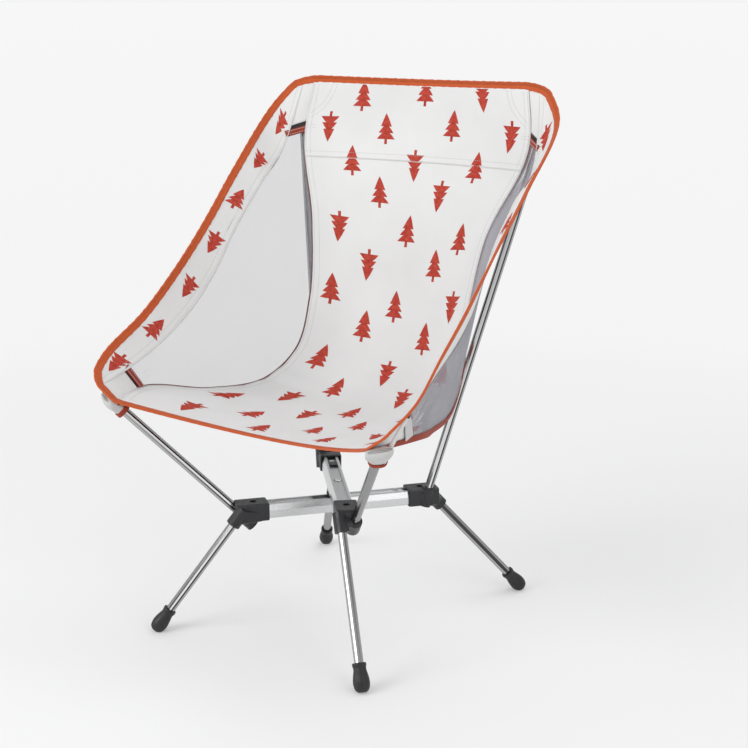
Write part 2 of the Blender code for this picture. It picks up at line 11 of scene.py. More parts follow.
import bmesh
import bpy
import numpy as np
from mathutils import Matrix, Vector

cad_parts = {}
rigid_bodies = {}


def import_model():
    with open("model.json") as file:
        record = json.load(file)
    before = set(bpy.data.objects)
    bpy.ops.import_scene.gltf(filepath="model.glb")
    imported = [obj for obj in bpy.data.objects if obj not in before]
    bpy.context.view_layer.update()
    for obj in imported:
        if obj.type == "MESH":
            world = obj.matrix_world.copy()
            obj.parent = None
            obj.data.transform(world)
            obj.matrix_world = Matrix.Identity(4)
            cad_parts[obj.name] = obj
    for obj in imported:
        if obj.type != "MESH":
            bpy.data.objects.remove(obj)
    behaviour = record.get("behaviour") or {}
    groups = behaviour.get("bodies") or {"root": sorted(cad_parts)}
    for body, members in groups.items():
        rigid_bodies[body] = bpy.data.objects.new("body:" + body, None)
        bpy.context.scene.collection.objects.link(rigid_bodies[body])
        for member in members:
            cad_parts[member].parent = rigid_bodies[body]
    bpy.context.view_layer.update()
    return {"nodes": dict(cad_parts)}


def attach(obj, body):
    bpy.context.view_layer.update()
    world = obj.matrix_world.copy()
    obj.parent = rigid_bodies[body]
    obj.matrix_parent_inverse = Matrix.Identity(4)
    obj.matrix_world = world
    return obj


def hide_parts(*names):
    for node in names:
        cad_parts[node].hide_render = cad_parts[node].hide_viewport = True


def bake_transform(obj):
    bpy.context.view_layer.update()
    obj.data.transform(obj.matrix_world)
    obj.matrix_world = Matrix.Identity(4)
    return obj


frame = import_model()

# ---------------------------------------------------------------- camera
VIEW_AZIMUTH = math.radians(33.53)
VIEW_ELEVATION = math.radians(14.14)
VIEW_DISTANCE = 1.8307
VIEW_TARGET = Vector((0.0383, 0.0253, 0.3158))
LENS = 71.3
SENSOR = 36

# ---------------------------------------------------------------- light
WORLD_STRENGTH = 1.0
SKY_TONES = ((0.0, 0.896), (0.02, 0.89), (0.18, 0.56), (0.45, 0.50), (0.75, 0.66))  # height, tone
FLOOR_REACH = 600
FLOOR_FADE = (0.45, 1.7)  # how far from the chair the floor turns into the white sweep
FLOOR_WHITE = 0.890
FLOOR_GLOW = 0.25  # how much of the sweep's own white the floor has under the chair
LIGHT_AIM = (0, 0, 0.3)
LIGHTS = (  # name, place, size, power
    ("key", (-1.3, -2.6, 1.7), (1.8, 1.4), 45),
    ("fill", (2.4, -0.9, 1.6), (1.2, 1.8), 12),
    ("top", (0.2, 1.4, 2.8), (2.4, 1.2), 14),
)

# ---------------------------------------------------------------- the sling's rails, as in the part
STATIONS = (0.0, 0.055, 0.14, 0.22, 0.28, 0.345, 0.445, 0.58, 0.65)
CENTRE_RAIL = (
    (0, -0.130, 0.262), (0, -0.078, 0.2567), (0, -0.005, 0.2560), (0, 0.068, 0.2685), (0, 0.115, 0.303),
    (0, 0.138, 0.365), (0, 0.160, 0.465), (0, 0.190, 0.598), (0, 0.202, 0.665),
)
SEAM_RAIL = (
    (0.179, -0.2080, 0.3000), (0.196, -0.139, 0.302), (0.165, -0.045, 0.284), (0.140, 0.042, 0.284),
    (0.126, 0.0895, 0.317), (0.120, 0.110, 0.378), (0.131, 0.133, 0.476), (0.170, 0.173, 0.596),
    (0.160, 0.184, 0.667),
)
BAND_RAIL = (
    (0.203, -0.2095, 0.316), (0.203, -0.157, 0.330), (0.197, -0.094, 0.358), (0.197, -0.034, 0.394),
    (0.195, 0.002, 0.428), (0.192, 0.036, 0.472), (0.191, 0.092, 0.528), (0.190, 0.155, 0.589),
    (0.178, 0.183, 0.664),
)
RIM_RAIL = (
    (0.2165, -0.206, 0.329), (0.2235, -0.174, 0.350), (0.217, -0.112, 0.388), (0.2155, -0.056, 0.430),
    (0.215, -0.022, 0.459), (0.216, 0.015, 0.492), (0.219, 0.076, 0.549), (0.215, 0.160, 0.629),
    (0.193, 0.178, 0.659),
)
MESH_FRONT = STATIONS[1]
MESH_TOP = STATIONS[7]
TOP = STATIONS[-1]
YOKE_AT = 0.545
YOKE_LIFT = 0.0009  # how far the yoke lies above the centre panel
SEAM_LAP = 0.004  # how far one cloth runs past a seam, over its neighbour
CLOTH_HALF = 0.00035
ON_CLOTH = CLOTH_HALF + 0.0001  # how high a row of stitches lies above a cloth's middle
ON_FOLD = CLOTH_HALF + 0.001  # and where the cloth is folded or lapped
PRINT_HEIGHT = CLOTH_HALF + 0.00012
BINDING_WIDTH = 0.0100
BINDING_HALF = 0.0014
BINDING_PUCKERS = ((0.00022, 0.0135, 0), (0.00018, 0.0079, 1))  # depth, pitch, phase
EDGE_SPACING = 0.0035  # between the points of the path round the sling's edge
TUCK = 0.0045  # from the sling's edge to the cloth inside its binding
CORNER_RADIUS = 0.016  # of the front corners
STITCH_LENGTH = 0.0022
STITCH_PITCH = 0.0031
STITCH_WIDTH = 0.00075
STITCH_DEPTH = 0.0004
STITCH_CROWN = 0.6  # how wide a stitch's top is beside its foot
STITCH_PROFILE = ((-0.5, -0.0003), (-0.25, 0.0002), (0.25, 0.0002), (0.5, -0.0003))  # place, rise
MOTIF_HEIGHT = 0.041
MOTIF_COLUMN = 0.046
MOTIF_ROW = 0.096 * 0.93
MOTIF_JITTER = (0.005, 0.006)  # across and along the cloth
MOTIF_LEAN = 0.08
BAND_MOTIF_START = 0.050
BAND_MOTIF_ROW = 0.088
BAND_MOTIF_SHARE = 0.36  # how far out on the band its motifs stand
BAND_MOTIF_LEAN = 0.06
SECTOR_X = 0.190  # the sling's corners, seen from above
SECTOR_Y = 0.1805


# ---------------------------------------------------------------- material nodes
def node_material(name, colour, roughness, metallic=0.0, **sockets):
    """A Principled material with its constants on the shader's own sockets."""
    made = bpy.data.materials.new(name)
    made.use_nodes = True
    sockets = {"Base Color": (*colour, 1.0), "Roughness": roughness, "Metallic": metallic, **sockets}
    for socket, value in sockets.items():
        shader_input(made, socket.replace("_", " ")).default_value = value
    return made


def shader_input(made, name):
    return made.node_tree.nodes["Principled BSDF"].inputs[name]


def link(made, output, socket):
    made.node_tree.links.new(output, socket)


def add_node(made, kind, **settings):
    """A node of that kind; a setting named like an input goes on its socket, any other on the node."""
    node = made.node_tree.nodes.new(kind)
    for key, value in settings.items():
        socket = node.inputs.get(key.replace("_", " ").title())
        if socket is not None:
            socket.default_value = value
        else:
            setattr(node, key, value)
    return node


def coordinates(made, output, turn=0.0):
    source = add_node(made, "ShaderNodeTexCoord")
    mapping = add_node(made, "ShaderNodeMapping")
    mapping.inputs["Rotation"].default_value = (0, 0, turn)
    link(made, source.outputs[output], mapping.inputs["Vector"])
    return mapping.outputs["Vector"]


def noise(made, scale, detail):
    node = add_node(made, "ShaderNodeTexNoise", scale=scale, detail=detail)
    link(made, coordinates(made, "Object"), node.inputs["Vector"])
    return node.outputs["Fac"]


def remap(made, value, low, high, start=0.3, end=0.7):
    """The value, stretched so that start becomes low and end becomes high."""
    node = add_node(made, "ShaderNodeMapRange")
    for socket, number in (("From Min", start), ("From Max", end), ("To Min", low), ("To Max", high)):
        node.inputs[socket].default_value = number
    link(made, value, node.inputs["Value"])
    return node.outputs["Result"]


def tone_ramp(nodes, tones, tint):
    """A colour ramp through (place, tone) pairs, each tone tinted a little."""
    ramp = nodes.new("ShaderNodeValToRGB")
    elements = ramp.color_ramp.elements
    for _ in tones[2:]:
        elements.new(0.5)
    for element, (place, tone) in zip(elements, tones):
        element.position = place
        element.color = (*(tone * t for t in tint), 1)
    return ramp


def vary_colour(made, value, colour, other, start=0.3, end=0.7):
    """Runs the base colour from one colour to another as the value goes from start to end."""
    ramp = add_node(made, "ShaderNodeValToRGB")
    for element, place, shade in zip(ramp.color_ramp.elements, (start, end), (colour, other)):
        element.position = place
        element.color = (*shade, 1)
    link(made, value, ramp.inputs["Fac"])
    link(made, ramp.outputs["Color"], shader_input(made, "Base Color"))


def vary_roughness(made, value, low, high):
    link(made, remap(made, value, low, high), shader_input(made, "Roughness"))


def add_bump(made, value, distance, strength):
    """Adds a layer of bump on top of any the material has."""
    normal = shader_input(made, "Normal")
    node = add_node(made, "ShaderNodeBump", strength=strength, distance=distance)
    link(made, value, node.inputs["Height"])
    if normal.links:
        link(made, normal.links[0].from_socket, node.inputs["Normal"])
    link(made, node.outputs["Normal"], normal)


def weave(made, pitch, turn=0.0):
    """Warp and weft: the product of two waves over the cloth's own coordinates, which are metres."""
    waves = []
    for direction in ("X", "Y"):
        wave = add_node(made, "ShaderNodeTexWave", scale=0.5 / pitch, distortion=0.6)
        wave.bands_direction = direction
        link(made, coordinates(made, "UV", turn=turn), wave.inputs["Vector"])
        waves.append(wave.outputs["Fac"])
    product = add_node(made, "ShaderNodeMath", operation="MULTIPLY")
    link(made, waves[0], product.inputs[0])
    link(made, waves[1], product.inputs[1])
    return product.outputs["Value"]


def cloth_material(name, tone):
    """Plain woven cloth, a little uneven in tone, with soft dents and its weave."""
    made = node_material(name, (tone, tone, tone * 0.99), 0.86, Sheen_Weight=0.15, Sheen_Roughness=0.5)
    dark, light = tone * 0.955, tone * 1.04
    tones = (dark, dark, dark * 0.993), (light, light, light * 0.994)
    vary_colour(made, noise(made, scale=9.0, detail=4.0), *tones)
    add_bump(made, noise(made, scale=45.0, detail=3.0), distance=0.0006, strength=0.5)
    add_bump(made, weave(made, pitch=0.0009), distance=0.00008, strength=0.7)
    return made


def mesh_material():
    """See-through knit: its threads cover more of what is behind it where it is seen at a slant."""
    made = node_material("side_mesh_knit", (0.30, 0.29, 0.33), 0.7, Alpha=0.2)
    vary_colour(made, noise(made, scale=14.0, detail=3.0), (0.27, 0.265, 0.30), (0.34, 0.335, 0.37))
    add_bump(made, weave(made, pitch=0.0016, turn=math.radians(45)), distance=0.00015, strength=0.8)
    slant = add_node(made, "ShaderNodeLayerWeight", blend=0.5)
    cover = remap(made, slant.outputs["Facing"], 0.17, 0.85, start=0.35, end=0.95)
    link(made, cover, shader_input(made, "Alpha"))
    return made


def binding_material(name, colour, dark):
    """Grosgrain tape: slanting ribs, with painted shade darkening the grooves between them."""
    made = node_material(
        name, colour, 0.75, Sheen_Weight=0.10, Sheen_Roughness=0.4, Specular_IOR_Level=0.3,
    )
    ribs = add_node(made, "ShaderNodeTexWave", scale=0.5 / 0.0016, distortion=0.8)
    slanting = coordinates(made, "UV", turn=math.radians(24))
    link(made, slanting, ribs.inputs["Vector"])
    # painted shade: the colour goes to the dark one in the grooves between the ribs
    vary_colour(made, ribs.outputs["Fac"], dark, colour, start=0.05, end=0.6)
    add_bump(made, ribs.outputs["Fac"], distance=0.0003, strength=0.9)
    add_bump(made, noise(made, scale=160.0, detail=2.0), distance=0.0003, strength=0.5)
    return made


def metal_material(name, colour, roughness, fine):
    """Drawn or extruded aluminium: a faint, fine grain and slight marks of handling."""
    made = node_material(name, colour, roughness, metallic=1.0)
    grain = noise(made, scale=fine, detail=2.0)
    vary_roughness(made, grain, roughness * 0.88, roughness * 1.18)
    dull = tuple(c * 0.96 for c in colour)
    bright = tuple(min(1, c * 1.03) for c in colour)
    vary_colour(made, noise(made, scale=9.0, detail=3.0), dull, bright)
    add_bump(made, grain, distance=0.000006, strength=0.5)
    return made


def pole_painted_reflection_material():
    """Polished tube with painted reflections: bright, with dark stripes set by the viewing angle."""
    made = metal_material("pole_painted_reflections", (0.80, 0.80, 0.80), 0.16, fine=900.0)
    slant = add_node(made, "ShaderNodeLayerWeight", blend=0.5)
    # painted reflections: the tube's bright bands and dark stripes, by how slanted it is to the view
    tones = ((0.0, 0.42), (0.045, 0.88), (0.11, 0.07), (0.20, 0.06), (0.28, 0.52), (0.88, 0.14))
    ramp = tone_ramp(made.node_tree.nodes, tones, (1, 1, 1.01))
    link(made, slant.outputs["Facing"], ramp.inputs["Fac"])
    link(made, ramp.outputs["Color"], shader_input(made, "Base Color"))
    return made


def moulded_material(name, colour, light, roughness, grain):
    """Plastic, rubber or braid, with a fine grain of the depth given."""
    made = node_material(name, colour, roughness, Specular_IOR_Level=0.45)
    vary_colour(made, noise(made, scale=55.0, detail=4.0), colour, light)
    uneven = noise(made, scale=120.0, detail=3.0)
    vary_roughness(made, uneven, roughness - 0.06, roughness + 0.1)
    add_bump(made, noise(made, scale=1400.0, detail=2.0), distance=grain, strength=0.6)
    return made


CLOTH = cloth_material("printed_cloth_woven", 0.755)
# painted shade: the same woven cloth in a darker tone, for the pockets and slot backings that lie in
# shade
POCKET_CLOTH_PAINTED_SHADE = cloth_material("pocket_cloth_painted_shade", 0.56)
MESH = mesh_material()
# each tape's second colour is painted shade for the grooves between its ribs
BINDING = binding_material("orange_binding_tape", (0.70, 0.130, 0.030), (0.50, 0.078, 0.018))
# painted shade: the orange tape made darker where it lies in shade, on seams, mesh ends and pocket mouths
SEAM_TAPE_PAINTED_SHADE = binding_material("seam_tape", (0.40, 0.055, 0.024), (0.24, 0.030, 0.014))
INK = node_material("rust_print", (0.47, 0.052, 0.034), 0.85, Specular_IOR_Level=0.3)
vary_colour(INK, noise(INK, scale=260.0, detail=4.0), (0.37, 0.034, 0.022), (0.55, 0.072, 0.046))
THREAD = node_material("pale_thread", (0.50, 0.50, 0.49), 0.7, Sheen_Weight=0.3)
vary_colour(THREAD, noise(THREAD, scale=300.0, detail=2.0), (0.44, 0.44, 0.43), (0.56, 0.56, 0.55))
# painted shade: a near-black sheet behind each slot, for the shaded inside of the pocket with the black
# pole tip in it
SLOT_PAINTED_SHADE = moulded_material(
    "slot_painted_shade", (0.022, 0.022, 0.024), (0.040, 0.040, 0.044), 0.8, grain=0.0001,
)
ORANGE_THREAD = node_material("orange_thread", (0.50, 0.075, 0.025), 0.65, Sheen_Weight=0.3)
POLE = pole_painted_reflection_material()
BAR = metal_material("extruded_bar", (0.66, 0.665, 0.67), 0.30, fine=700.0)
RIVET = metal_material("rivet_metal", (0.70, 0.70, 0.71), 0.28, fine=800.0)
NYLON = moulded_material(
    "moulded_nylon", (0.014, 0.0145, 0.016), (0.023, 0.0235, 0.026), 0.38, grain=0.00006,
)
RUBBER = moulded_material(
    "moulded_rubber", (0.012, 0.012, 0.013), (0.020, 0.020, 0.022), 0.46, grain=0.0001,
)
CORD = moulded_material("braided_cord", (0.04, 0.04, 0.045), (0.09, 0.09, 0.10), 0.8, grain=0.0002)


# ---------------------------------------------------------------- curves and surfaces, as arrays
def rail(points, stations):
    """A smooth curve through points at STATIONS, at each of the stations asked for."""
    knots = np.array(STATIONS)
    points = np.array(points, float)
    steps = np.diff(knots)[:, None]
    slopes = np.diff(points, axis=0) / steps
    inner = (slopes[:-1] * steps[1:] + slopes[1:] * steps[:-1]) / (steps[:-1] + steps[1:])
    tangents = np.vstack([slopes[:1], inner, slopes[-1:]])
    stations = np.atleast_1d(np.asarray(stations, float))
    k = np.clip(np.searchsorted(knots, stations, side="right") - 1, 0, len(knots) - 2)
    h = steps[k]
    t = ((stations - knots[k]) / h[:, 0])[:, None]
    ease = t * t * (3 - 2 * t)
    bend = tangents[k] * h * t * (1 - t) ** 2 + tangents[k + 1] * h * t * t * (t - 1)
    return points[k] * (1 - ease) + points[k + 1] * ease + bend


def unit(vectors):
    return vectors / np.maximum(np.linalg.norm(vectors, axis=-1, keepdims=True), 1e-12)


def flipped(points, side):
    return points * np.array((side, 1, 1))


def outer_edge(stations):
    """The sling's right-hand edge: the rim, rounded off at the front corner."""
    stations = np.atleast_1d(np.asarray(stations, float))
    rim = rail(RIM_RAIL, stations)
    inward = unit(rail(BAND_RAIL, stations) - rim)
    near = np.clip(1 - stations / CORNER_RADIUS, 0, 1)
    return rim + inward * (CORNER_RADIUS * (1 - np.sqrt(1 - near * near)))[:, None]


def panel_surface(stations, across):
    """The centre panel and yoke: across runs from -1 at the left seam to 1 at the right one."""
    stations, across = np.broadcast_arrays(stations, across)
    middle = rail(CENTRE_RAIL, stations.ravel()).reshape(*stations.shape, 3)
    seam = rail(SEAM_RAIL, stations.ravel()).reshape(*stations.shape, 3)
    found = middle + (seam - middle) * (across * across)[..., None]
    found[..., 0] = seam[..., 0] * across
    return found


def span_surface(inner, outer, side):
    """The cloth between two curves on one side of the sling: share is 0 at the inner curve, 1 at the
    outer one."""

    def surface(stations, share):
        stations, share = np.broadcast_arrays(stations, share)
        a = inner(stations.ravel()).reshape(*stations.shape, 3)
        b = outer(stations.ravel()).reshape(*stations.shape, 3)
        return flipped(a + (b - a) * share[..., None], side)

    return surface


def seam_curve(stations):
    return rail(SEAM_RAIL, stations)


def band_curve(stations):
    return rail(BAND_RAIL, stations)


def normals_of(surface, stations, shares, side=1):
    """Unit vectors to the sitter's side of a surface, by small steps along it."""
    step, share_step = 0.0005, 0.002
    low = surface(np.clip(stations - step, 0, TOP), shares)
    high = surface(np.clip(stations + step, 0, TOP), shares)
    left = surface(stations, shares - share_step)
    right = surface(stations, shares + share_step)
    return unit(np.cross(right - left, high - low)) * side


# ---------------------------------------------------------------- wrinkles
def ripple(u, v, seed):
    """Slow, uneven waves over a cloth, between about -1 and 1."""
    waves = 5
    total = np.zeros_like(u)
    for k in range(waves):
        angle = seed * 1.7 + k * 2.4
        pitch = 0.060 + 0.021 * k
        along = u * math.cos(angle) + v * math.sin(angle)
        total += np.sin(along * math.tau / pitch + seed * 3 + k) / waves
    return total


def fan(u, v, centre, aim, reach, folds, seed):
    """Tension folds that run out from a corner, strongest near it and around the direction aim."""
    width, start = 0.75, 0.012
    du = u - centre[0]
    dv = v - centre[1]
    radius = np.hypot(du, dv)
    turn = np.angle(np.exp(1j * (np.arctan2(dv, du) - aim)))
    spread = np.exp(-((turn / width) ** 2))
    fade = np.exp(-radius / reach) * np.clip(radius / start, 0, 1)
    return np.sin(turn * folds + seed + 0.8 * np.sin(radius * 60 + seed)) * spread * fade


def panel_wrinkles(stations, across):
    """Folds from the corners, creases beside the seat's bend, and slow waves over all, which fade out
    toward the binding."""
    u, v = across * 0.15, stations
    lift = 0.00045 * ripple(u, v, seed=1.0)
    for side in (-1, 1):
        front, top = (side * 0.165, 0.0), (side * 0.150, TOP)
        front_aim, top_aim = math.pi / 2 + side * 0.65, -math.pi / 2 - side * 0.6
        lift += 0.0018 * fan(u, v, front, front_aim, reach=0.055, folds=13, seed=1.0 + side)
        lift += 0.0011 * fan(u, v, top, top_aim, reach=0.060, folds=9, seed=2.0 + side)
    bend, bend_width, crease_pitch = 0.235, 0.05, 0.034
    crease = np.exp(-(((v - bend) / bend_width) ** 2)) * np.abs(across) ** 1.5
    lift += 0.0010 * crease * np.sin(v * math.tau / crease_pitch + u * 25)
    return lift * np.clip(np.minimum(v, TOP - v) / 0.02 - 0.4, 0, 1)


def mesh_wrinkles(stations, share):
    """Slow waves, and folds from the two narrow ends, all flat at the seams."""
    u, middle = share * 0.09, 0.04
    lift = 0.0010 * ripple(share * 0.08, stations * 0.55, seed=4.0)
    front, top = (middle, MESH_FRONT), (middle, MESH_TOP)
    lift += 0.0016 * fan(u, stations, front, math.pi / 2, reach=0.09, folds=11, seed=0.5)
    lift += 0.0012 * fan(u, stations, top, -math.pi / 2, reach=0.09, folds=10, seed=1.5)
    rim = np.clip(np.minimum(share, 1 - share) / 0.15, 0, 1)
    ends = np.clip(np.minimum(stations - MESH_FRONT, MESH_TOP - stations) / 0.02, 0, 1)
    return lift * rim * ends


def band_wrinkles(stations, share):
    return 0.0005 * ripple(share * 0.03, stations, seed=7.0)


# ---------------------------------------------------------------- mesh building
def mesh_object(name, vertices, faces, finish, uv=None, smooth=True):
    """An object of one material; uv holds one pair for each vertex."""
    data = bpy.data.meshes.new(name)
    data.from_pydata([tuple(v) for v in vertices], [], faces)
    if uv is not None:
        layer = data.uv_layers.new(name="UVMap")
        index = np.zeros(len(data.loops), int)
        data.loops.foreach_get("vertex_index", index)
        layer.data.foreach_set("uv", np.asarray(uv, np.float32)[index].ravel())
    data.materials.append(finish)
    if smooth:
        data.shade_smooth()
    obj = bpy.data.objects.new(name, data)
    bpy.context.scene.collection.objects.link(obj)
    return obj


def tube_faces(count, size, closed):
    """Quads between each of count rings of size points and the next one."""
    return [
        (i * size + k, i * size + (k + 1) % size, (i + 1) % count * size + (k + 1) % size,
         (i + 1) % count * size + k)
        for i in range(count if closed else count - 1) for k in range(size)
    ]


def face_outward(obj):
    bm = bmesh.new()
    bm.from_mesh(obj.data)
    bmesh.ops.recalc_face_normals(bm, faces=bm.faces)
    bm.to_mesh(obj.data)
    bm.free()


SECTOR_SIDES = {  # which side each sector is on of the two upright planes through the corners
    "front": (-1, 1), "rear": (1, -1), "left": (-1, -1), "right": (1, 1),
}


def bend_with(obj):
    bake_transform(obj)


def cut_out(whole, sector, solid):
    """The part of a mesh that lies in one sector, closed again where it was cut."""
    part = whole.copy()
    for sign, kept in zip((1, -1), SECTOR_SIDES[sector]):
        geometry = part.verts[:] + part.edges[:] + part.faces[:]
        across = Vector((1 / SECTOR_X, sign / SECTOR_Y, 0)).normalized() * -kept
        bmesh.ops.bisect_plane(
            part, geom=geometry, dist=1e-6, plane_co=(0, 0, 0), plane_no=across, clear_outer=True,
        )
        if solid:
            bmesh.ops.holes_fill(part, edges=[e for e in part.edges if e.is_boundary], sides=0)
    return part


def share_out(obj):
    """Cuts a piece along the two upright planes through the sling's corners, into a part for each
    sector. The parts keep the whole piece's shading, so that the cuts don't show."""
    whole = bmesh.new()
    whole.from_mesh(obj.data)
    solid = not any(edge.is_boundary for edge in whole.edges)
    shading = whole.verts.layers.float_vector.new("shading")
    whole.normal_update()
    for vertex in whole.verts:
        vertex[shading] = vertex.normal
    base, finishes = obj.name, list(obj.data.materials)
    bpy.data.objects.remove(obj)
    result = []
    for sector in SECTOR_SIDES:
        part = cut_out(whole, sector, solid)
        if part.faces:
            name = f"{base}_{sector}"
            data = bpy.data.meshes.new(name)
            kept = part.verts.layers.float_vector["shading"]
            normals = [tuple(v[kept].normalized()) for v in part.verts]
            part.to_mesh(data)
            for finish in finishes:
                data.materials.append(finish)
            data.shade_smooth()
            data.normals_split_custom_set_from_vertices(normals)
            data.attributes.remove(data.attributes["shading"])
            made = bpy.data.objects.new(name, data)
            bpy.context.scene.collection.objects.link(made)
            bend_with(made)
            result.append(made)
        part.free()
    whole.free()
    return result


def cloth(
    name, surface, stations, shares, finish, side=1, wrinkles=None, lift=0.0, scale=0.15,
    sector=None,
):
    """A cloth of real thickness over surface(station, share), closed at its edges: kept whole when a
    sector is given, else cut up between the sectors. A share of 1 is scale metres in its UV."""
    s, a = np.meshgrid(stations, shares, indexing="ij")
    points = surface(s, a)
    normals = normals_of(surface, s, a, side)
    if wrinkles is not None:
        lift = lift + wrinkles(s, a)
    points = points + normals * np.broadcast_to(lift, s.shape)[..., None]
    layers = [points - normals * CLOTH_HALF, points + normals * CLOTH_HALF]
    vertices = np.concatenate([layer.reshape(-1, 3) for layer in layers])
    uv = np.stack([a * scale, s], -1).reshape(-1, 2)
    count = s.size
    index = np.arange(count).reshape(s.shape)
    corners = [index[:-1, :-1], index[:-1, 1:], index[1:, 1:], index[1:, :-1]]
    quads = np.stack(corners, -1).reshape(-1, 4)
    ring = [*index[0, :], *index[1:, -1], *index[-1, -2::-1], *index[-2:0:-1, 0]]
    if side < 0:
        quads = quads[:, ::-1]
        ring = ring[::-1]
    faces = [tuple(int(v) for v in q) for q in quads + count]
    faces += [tuple(int(v) for v in q[::-1]) for q in quads]
    for here, following in zip(ring, ring[1:] + ring[:1]):
        faces.append((int(here), int(following), int(following + count), int(here + count)))
    obj = mesh_object(name, vertices, faces, finish, np.concatenate([uv, uv]))
    if sector:
        bend_with(obj)
        parts = [obj]
    else:
        parts = share_out(obj)


def travel(path):
    """How far along a path each of its points lies."""
    steps = np.linalg.norm(np.diff(path, axis=0), axis=1)
    return np.concatenate([[0], np.cumsum(steps)])


def tape(name, path, normals, ways, section, finish, closed=False):
    """A tape swept along a path: section holds (distance along ways, height along normals) pairs."""
    count, size = len(path), len(section)
    grid = np.stack([path + ways * out + normals * up for out, up in section], 1)
    uv = np.stack(np.meshgrid(travel(path), travel(section), indexing="ij"), -1).reshape(-1, 2)
    faces = tube_faces(count, size, closed)
    if not closed:
        faces.append(tuple(range(size - 1, -1, -1)))
        faces.append(tuple((count - 1) * size + k for k in range(size)))
    obj = mesh_object(name, grid.reshape(-1, 3), faces, finish, uv)
    face_outward(obj)
    share_out(obj)


def evenly(path, normals, spacing):
    """The path, and the normals that go with it, at even distances along it."""
    travelled = travel(path)
    count = max(2, int(round(travelled[-1] / spacing)))
    wanted = np.linspace(0, travelled[-1], count + 1)
    return [
        np.stack([np.interp(wanted, travelled, array[:, k]) for k in range(3)], 1)
        for array in (path, normals)
    ]


def smoothed(loop, rounds):
    """A closed loop of points or directions, each averaged with its neighbours that many times."""
    for _ in range(rounds):
        loop = (np.roll(loop, 1, 0) + loop * 2 + np.roll(loop, -1, 0)) / 4
    return loop


STITCHES = {"pale": ([], []), "orange": ([], [])}


def stitch(path, normals, height, colour="pale"):
    """Stitches along a path, each one a small rounded bar of thread that dips at its ends."""
    vertices, faces = STITCHES[colour]
    path, normals = evenly(path, normals, STITCH_PITCH)
    for k in range(len(path) - 1):
        along = unit(path[k + 1] - path[k])
        up = unit(normals[k])
        wide = np.cross(along, up) * STITCH_WIDTH / 2
        middle = (path[k] + path[k + 1]) / 2 + up * height
        base = len(vertices)
        for share, rise in STITCH_PROFILE:
            at = middle + along * STITCH_LENGTH * share + up * rise
            low, crown = at - up * STITCH_DEPTH, wide * STITCH_CROWN
            vertices.extend([low - wide, at - crown, at + crown, low + wide])
        for m in range(3):
            for n in range(3):
                a = base + m * 4 + n
                faces.append((a, a + 1, a + 5, a + 4))


def stitch_line(surface, stations, shares, height, side=1, wrinkles=None):
    """Stitches along a line of (station, share) on a surface, on the sitter's side and on the back."""
    points = surface(stations, shares)
    normals = normals_of(surface, stations, shares, side)
    lift = wrinkles(stations, shares)[:, None] if wrinkles is not None else 0
    for sign in (1, -1):
        stitch(points + normals * lift, normals * sign, height)


# ---------------------------------------------------------------- the sling's cloths
def build_panels():
    across = np.linspace(-1, 1, 93)
    seat = np.linspace(TUCK, YOKE_AT + SEAM_LAP, 165)
    cloth("centre_cloth", panel_surface, seat, across, CLOTH, wrinkles=panel_wrinkles)
    top = np.linspace(YOKE_AT - SEAM_LAP, TOP - TUCK, 36)
    cloth(
        "yoke_cloth", panel_surface, top, across, CLOTH, wrinkles=panel_wrinkles,
        lift=YOKE_LIFT, sector="rear",
    )


def build_sides():
    """The side mesh, the band outside it, and the patches in front of it and above it."""
    patch_ends = (("front", TUCK, MESH_FRONT - 0.008), ("rear", MESH_TOP + 0.011, TOP - TUCK))
    for side, word in ((-1, "left"), (1, "right")):
        mesh = span_surface(seam_curve, band_curve, side)
        band = span_surface(band_curve, outer_edge, side)
        cloth(
            f"mesh_cloth_{word}", mesh, np.linspace(MESH_FRONT, MESH_TOP, 121),
            np.linspace(-0.04, 1.04, 33), MESH, side,
            wrinkles=mesh_wrinkles, lift=-0.0009, scale=0.09, sector=word,
        )
        cloth(
            f"band_cloth_{word}", band, np.linspace(TUCK, TOP - TUCK, 181),
            np.linspace(-0.12, 0.84, 13), CLOTH, side,
            wrinkles=band_wrinkles, scale=0.03, sector=word,
        )
        for end, low, high in patch_ends:
            cloth(
                f"patch_cloth_{end}_{word}", mesh, np.linspace(low, high, 19),
                np.linspace(-0.06, 1.06, 11), CLOTH, side,
                lift=-0.0002, scale=0.03, sector=end if end == "rear" else word,
            )


# ---------------------------------------------------------------- tapes
def edge_path():
    """The sling's edge as a closed loop, with the way inward and the sitter's side at each point."""
    into = 0.01  # how far inside the edge the way inward is measured

    def row(surface, station, shares, sign):
        edge = surface(station, shares)
        return edge, surface(station + into * sign, shares) - edge

    across = np.linspace(0, 1, 40)
    shares = np.linspace(0.1, 1, 6)
    patch = span_surface(seam_curve, band_curve, 1)
    stations = np.concatenate([np.linspace(0, CORNER_RADIUS, 14), np.linspace(0.022, TOP, 150)])
    rim = outer_edge(stations)
    top, top_in = row(panel_surface, TOP, across, -1)
    rows = (
        row(panel_surface, 0.0, across, 1), row(patch, 0.0, shares, 1),
        (rim, band_curve(stations) - rim),
        row(patch, TOP, shares[::-1], -1), (top[::-1], top_in[::-1]),
    )
    path = np.concatenate([points for points, _ in rows])
    inward = np.concatenate([unit(ways) for _, ways in rows])
    path = np.concatenate([path, flipped(path[-2:0:-1], -1)])
    inward = np.concatenate([inward, flipped(inward[-2:0:-1], -1)])
    path, inward = evenly(*(np.vstack([v, v[:1]]) for v in (path, inward)), EDGE_SPACING)
    path = smoothed(path[:-1], 3)
    inward = smoothed(inward[:-1], 8)
    along = unit(np.roll(path, -1, 0) - np.roll(path, 1, 0))
    inward = unit(inward - along * (inward * along).sum(1)[:, None])
    return path, inward, np.cross(inward, along) * -1


